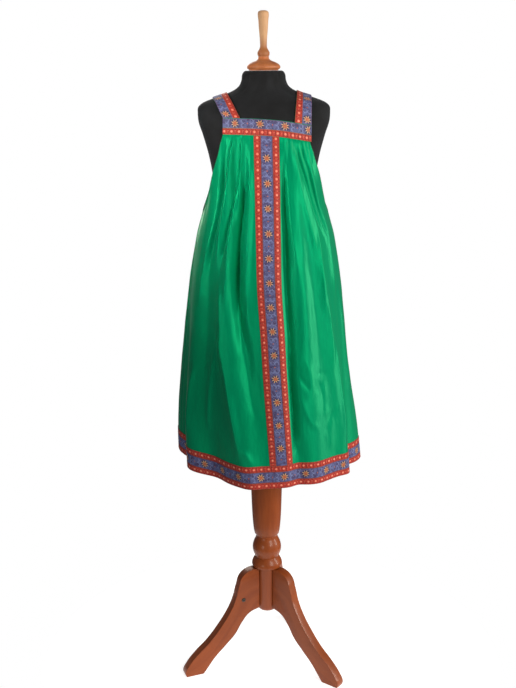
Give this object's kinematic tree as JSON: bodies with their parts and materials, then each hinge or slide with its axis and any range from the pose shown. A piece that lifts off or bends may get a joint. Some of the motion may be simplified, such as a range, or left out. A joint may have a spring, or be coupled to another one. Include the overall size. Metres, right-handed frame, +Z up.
{
  "type": "sarafan dress on dress form",
  "caption": "Sleeveless gathered pinafore dress with wide straps and patterned trim, worn by a limbless child's dress form on a turned wooden tripod.",
  "frame": {"origin": "on the floor under the middle of the whole object's bounding box", "axes": "+Z up, the wearer's front looks along -Y, the wearer's left is +X"},
  "size_m": [0.4304, 0.3485, 1.505],
  "materials": {
    "satin": "satin",
    "ribbon": "woven jacquard ribbon",
    "braid": "woven braid",
    "form_jersey": "matt jersey",
    "stand_wood": "varnished",
    "handle_wood": "varnished"
  },
  "bodies": {
    "root": {"skirt_front": "satin", "skirt_back": "satin", "band_front": "satin", "band_back": "satin", "strap_left": "satin", "strap_right": "satin", "band_ribbon": "ribbon", "centre_ribbon": "ribbon", "hem_ribbon": "ribbon", "strap_ribbon_left": "ribbon", "strap_ribbon_right": "ribbon", "band_braid": "braid", "centre_braid_left": "braid", "centre_braid_right": "braid", "hem_braid_upper": "braid", "hem_braid_lower": "braid", "strap_braid_left": "braid", "strap_braid_right": "braid", "form_torso": "form_jersey", "neck_cap": "stand_wood", "cap_handle": "handle_wood", "pole": "stand_wood", "column": "stand_wood", "leg_left": "stand_wood", "leg_back": "stand_wood", "leg_right": "stand_wood"}
  },
  "joints": []
}
